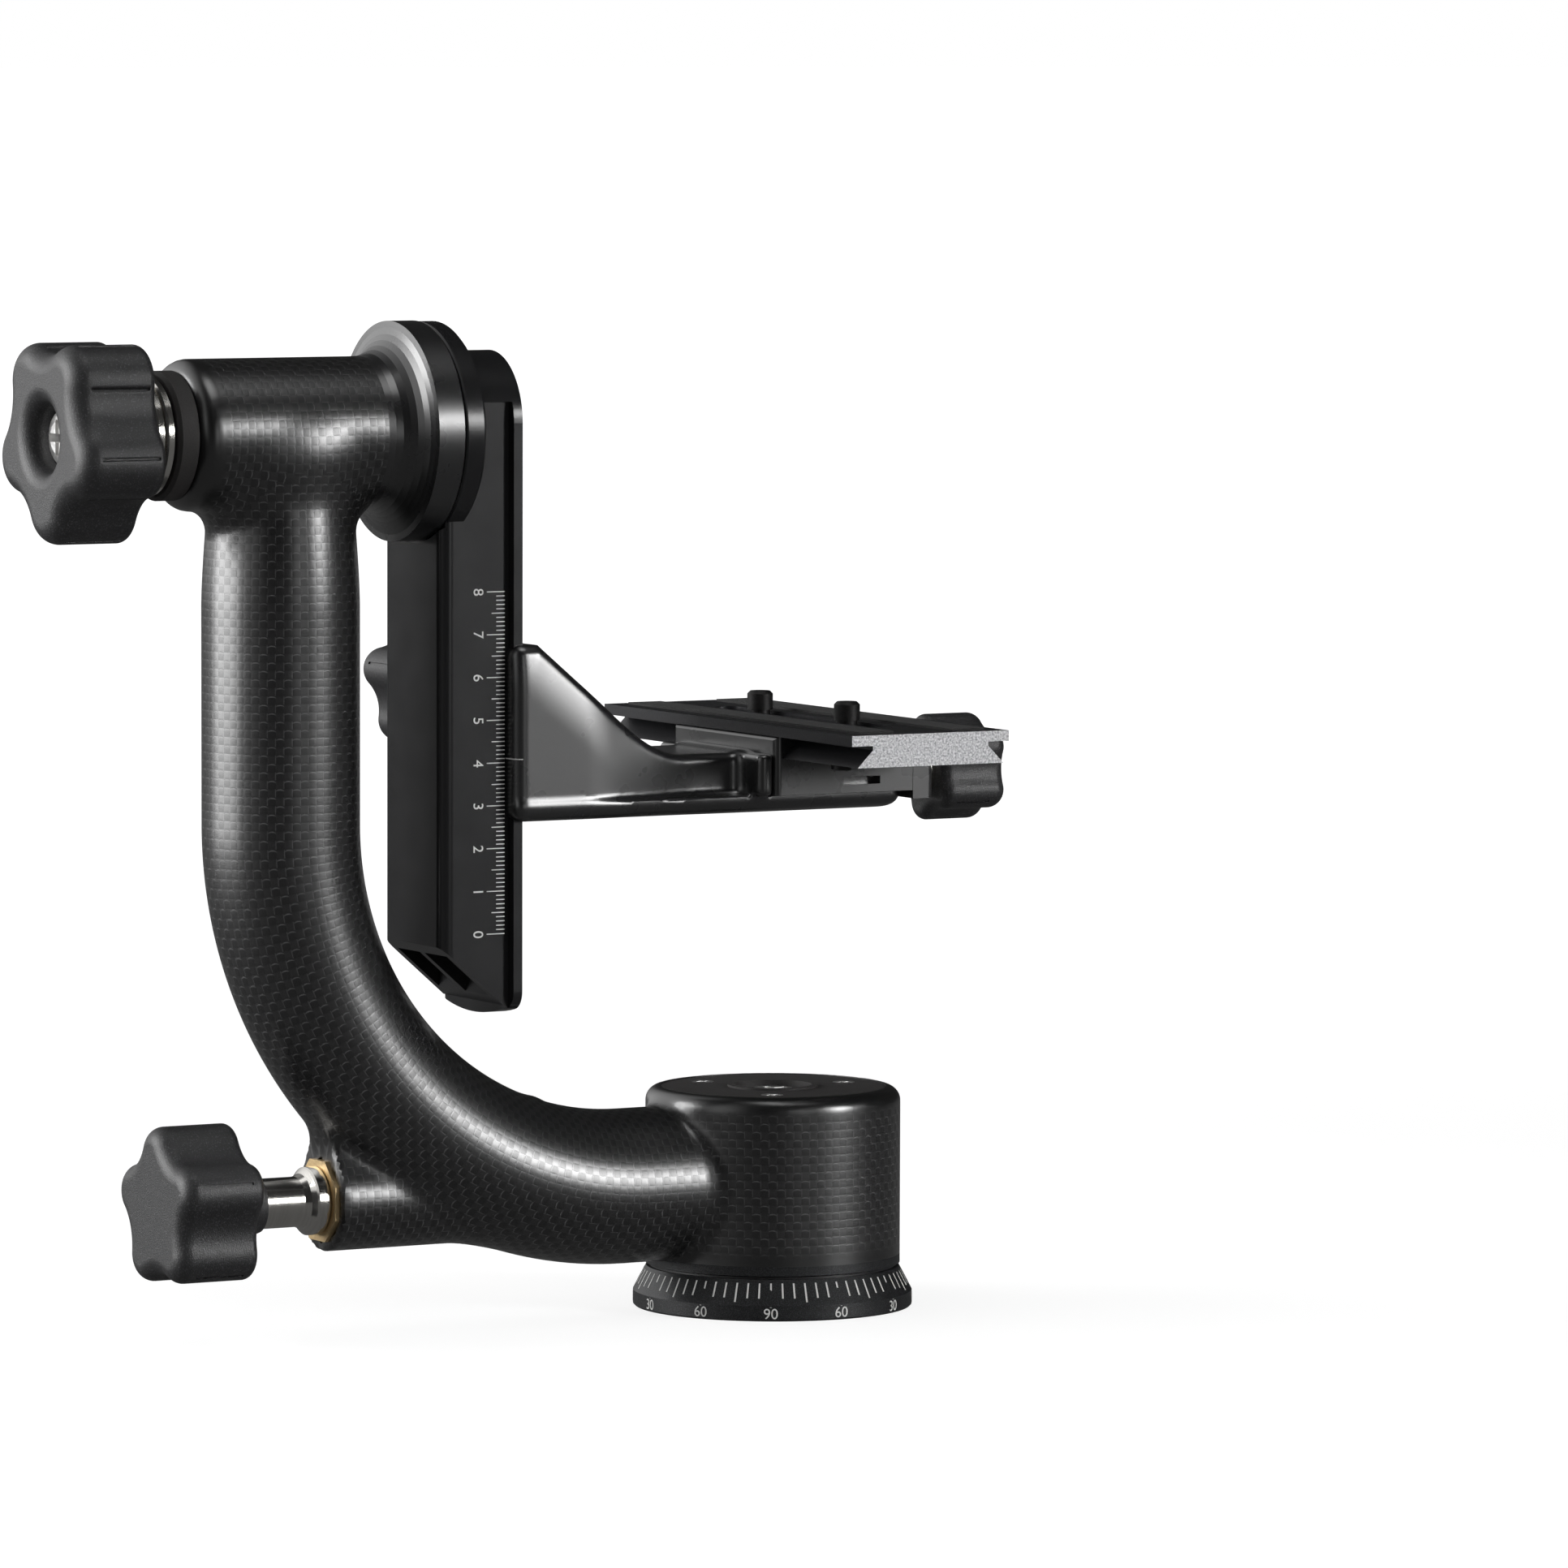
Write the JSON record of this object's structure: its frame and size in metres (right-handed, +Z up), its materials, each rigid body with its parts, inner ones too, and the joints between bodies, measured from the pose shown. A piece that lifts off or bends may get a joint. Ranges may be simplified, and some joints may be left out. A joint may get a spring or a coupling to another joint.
{
  "type": "gimbal tripod head",
  "caption": "Side-mount gimbal head for a long lens: graduated base, panning carbon J arm, tilting swing arm with rail, height-adjustable lens clamp and slotted plate.",
  "frame": {"origin": "centre of the base underside, on the pan axis, at the mouth of the tripod socket", "axes": "+Z up along the pan axis; +X from the tilt knob towards the pan axis and the lens platform; the lens looks along -Y"},
  "size_m": [0.2517, 0.121, 0.2367],
  "materials": {
    "anodised_black": "satin black anodised",
    "carbon": "satin clear-coated plain-weave carbon",
    "cast_black": "satin black anodised casting",
    "swing_grey": "satin charcoal anodised",
    "liner": "turned",
    "cap_black": "matte black",
    "glide_black": "smooth black acetal",
    "knob_grey": "fine grained satin",
    "steel": "turned steel",
    "polished_steel": "polished",
    "brass": "machined",
    "screw_black": "black oxide",
    "rubber": "ribbed",
    "plate_black": "black anodised, raw blasted ends",
    "acetal": "natural acetal",
    "fibre": "friction lining"
  },
  "bodies": {
    "base": {"graduated_base": "anodised_black", "base_screws": "screw_black", "pan_spindle": "steel", "spindle_screw": "polished_steel", "spindle_washer": "steel", "bearing_spacer": "steel", "glide_ring": "glide_black", "pan_bearing_inner_rings": "steel"},
    "pan_arm": {"carbon_arm": "carbon", "housing_liner": "liner", "housing_end_ring": "cast_black", "top_cap": "cap_black", "top_cap_screws": "polished_steel", "pan_lock_bush": "brass", "pan_bearing_outer_rings": "steel", "pan_bearing_balls": "polished_steel", "sleeve_flange": "cast_black", "sleeve_liner": "liner", "tilt_end_cap": "cap_black", "tilt_bearing_outer_rings": "steel", "tilt_bearing_balls": "polished_steel"},
    "swing": {"swing_arm": "swing_grey", "tilt_spindle": "steel", "tilt_friction_washer": "fibre", "hub_bolt": "screw_black", "tilt_bearing_inner_rings": "steel"},
    "tilt_washers": {"tilt_thrust_washers": "polished_steel"},
    "tilt_lock": {"tilt_knob": "knob_grey", "tilt_knob_insert": "brass", "tilt_knob_screw": "polished_steel"},
    "pan_brake": {"pan_brake_pad": "acetal"},
    "pan_lock": {"pan_knob": "knob_grey", "pan_knob_hub": "cap_black", "pan_lock_screw": "polished_steel"},
    "bracket": {"platform_bracket": "cast_black", "rail_jaw_pins": "steel", "clamp_body": "cast_black", "clamp_body_screws": "screw_black", "clamp_guide_pins": "steel"},
    "rail_clamp": {"rail_jaw": "cast_black"},
    "rail_lock": {"rail_knob": "knob_grey", "rail_knob_stud": "steel"},
    "plate_clamp": {"moving_jaw": "cast_black"},
    "plate_lock": {"clamp_knob": "knob_grey", "clamp_screw": "steel"},
    "plate": {"lens_plate": "plate_black", "plate_grip_strips": "rubber", "plate_stop_screws": "screw_black", "foot_screws": "steel"}
  },
  "joints": [
    {"name": "pan", "type": "hinge", "parent": "base", "child": "pan_arm", "pos_m": [0, 0, 0], "axis": [0, 0, 1], "continuous": true},
    {"name": "tilt", "type": "hinge", "parent": "pan_arm", "child": "swing", "pos_m": [0, 0, 0.211], "axis": [1, 0, 0], "continuous": true},
    {"name": "tilt_washer_slide", "type": "slide", "parent": "swing", "child": "tilt_washers", "axis": [-1, 0, 0], "range_m": [0, 0.0015]},
    {"name": "tilt_lock_turn", "type": "hinge", "parent": "tilt_washers", "child": "tilt_lock", "pos_m": [0, 0, 0.211], "axis": [-1, 0, 0], "range_deg": [0, 366]},
    {"name": "pan_brake_slide", "type": "slide", "parent": "pan_arm", "child": "pan_brake", "axis": [-1, 0, 0], "range_m": [0, 0.00187]},
    {"name": "pan_lock_turn", "type": "hinge", "parent": "pan_brake", "child": "pan_lock", "pos_m": [0, 0, 0.0318], "axis": [-1, 0, 0], "range_deg": [0, 548]},
    {"name": "bracket_height", "type": "slide", "parent": "swing", "child": "bracket", "axis": [0, 0, 1], "range_m": [-0.0405, 0.0395]},
    {"name": "rail_jaw_slide", "type": "slide", "parent": "bracket", "child": "rail_clamp", "axis": [0, 1, 0], "range_m": [0, 0.00187]},
    {"name": "rail_lock_turn", "type": "hinge", "parent": "rail_clamp", "child": "rail_lock", "pos_m": [-0.0671, 0, 0.1483], "axis": [0, 1, 0], "range_deg": [0, 548]},
    {"name": "plate_jaw_slide", "type": "slide", "parent": "bracket", "child": "plate_clamp", "axis": [1, 0, 0], "range_m": [0, 0.002]},
    {"name": "plate_lock_turn", "type": "hinge", "parent": "plate_clamp", "child": "plate_lock", "pos_m": [0, 0, 0.1273], "axis": [1, 0, 0], "range_deg": [0, 912]},
    {"name": "plate_balance", "type": "slide", "parent": "bracket", "child": "plate", "axis": [0, 1, 0], "range_m": [-0.013, 0.013]}
  ],
  "couplings": [
    {"joint": "tilt_lock_turn", "follows": "tilt_washer_slide", "rad_per_m": 4188.8},
    {"joint": "pan_lock_turn", "follows": "pan_brake_slide", "rad_per_m": 5026.5},
    {"joint": "rail_lock_turn", "follows": "rail_jaw_slide", "rad_per_m": 5026.5},
    {"joint": "plate_lock_turn", "follows": "plate_jaw_slide", "rad_per_m": 7854}
  ]
}
